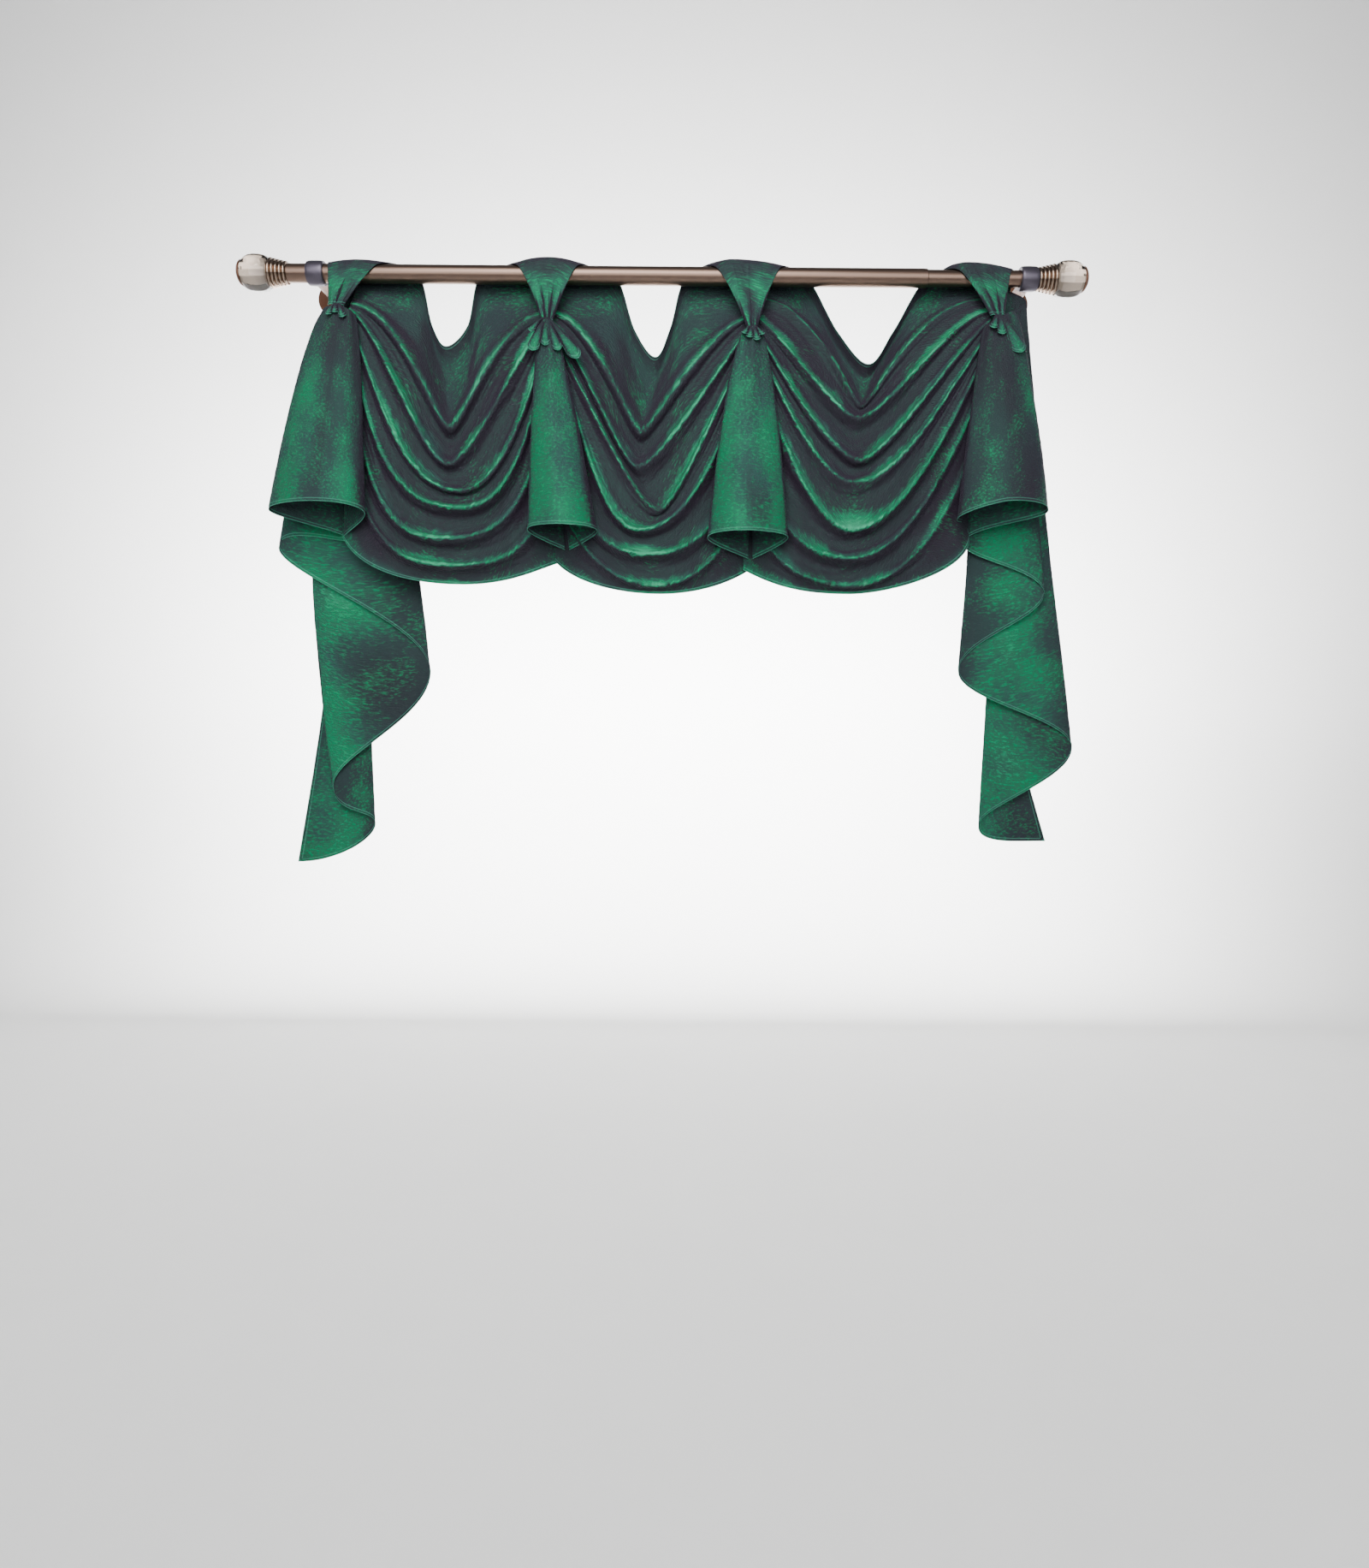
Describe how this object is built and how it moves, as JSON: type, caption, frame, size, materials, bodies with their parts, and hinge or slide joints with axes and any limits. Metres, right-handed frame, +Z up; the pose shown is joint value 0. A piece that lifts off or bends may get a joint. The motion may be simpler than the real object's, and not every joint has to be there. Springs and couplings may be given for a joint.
{
  "type": "swag and tail drape on curtain rod",
  "caption": "Draped window valance of shot green taffeta with scooped swags, trumpet bells and zigzag cascade tails, hung by cloth tabs on a wall-mounted curtain rod with glass finials.",
  "frame": {"origin": "middle of the left bracket's wall plate, on its flat back face against the wall", "axes": "+X to the right along the rod, +Y into the wall, +Z up"},
  "size_m": [1.2896, 0.1686, 0.9315],
  "materials": {
    "nickel": "brushed nickel plate on steel tube",
    "pewter": "dark pewter coating on cast metal",
    "glass": "clear moulded glass",
    "taffeta": "shot taffeta, green across a dark purple grey, with a soft sheen"
  },
  "bodies": {
    "root": {"rod_outer": "nickel", "rod_inner": "nickel", "bracket_left": "pewter", "bracket_right": "pewter", "finial_collar_left": "nickel", "finial_collar_right": "nickel", "finial_glass_left": "glass", "finial_glass_right": "glass", "finial_cap_left": "nickel", "finial_cap_right": "nickel", "swag_left": "taffeta", "swag_middle": "taffeta", "swag_right": "taffeta", "bell_left": "taffeta", "bell_right": "taffeta", "tail_left": "taffeta", "tail_right": "taffeta", "tab_1": "taffeta", "tab_2": "taffeta", "tab_3": "taffeta", "tab_4": "taffeta"}
  },
  "joints": []
}
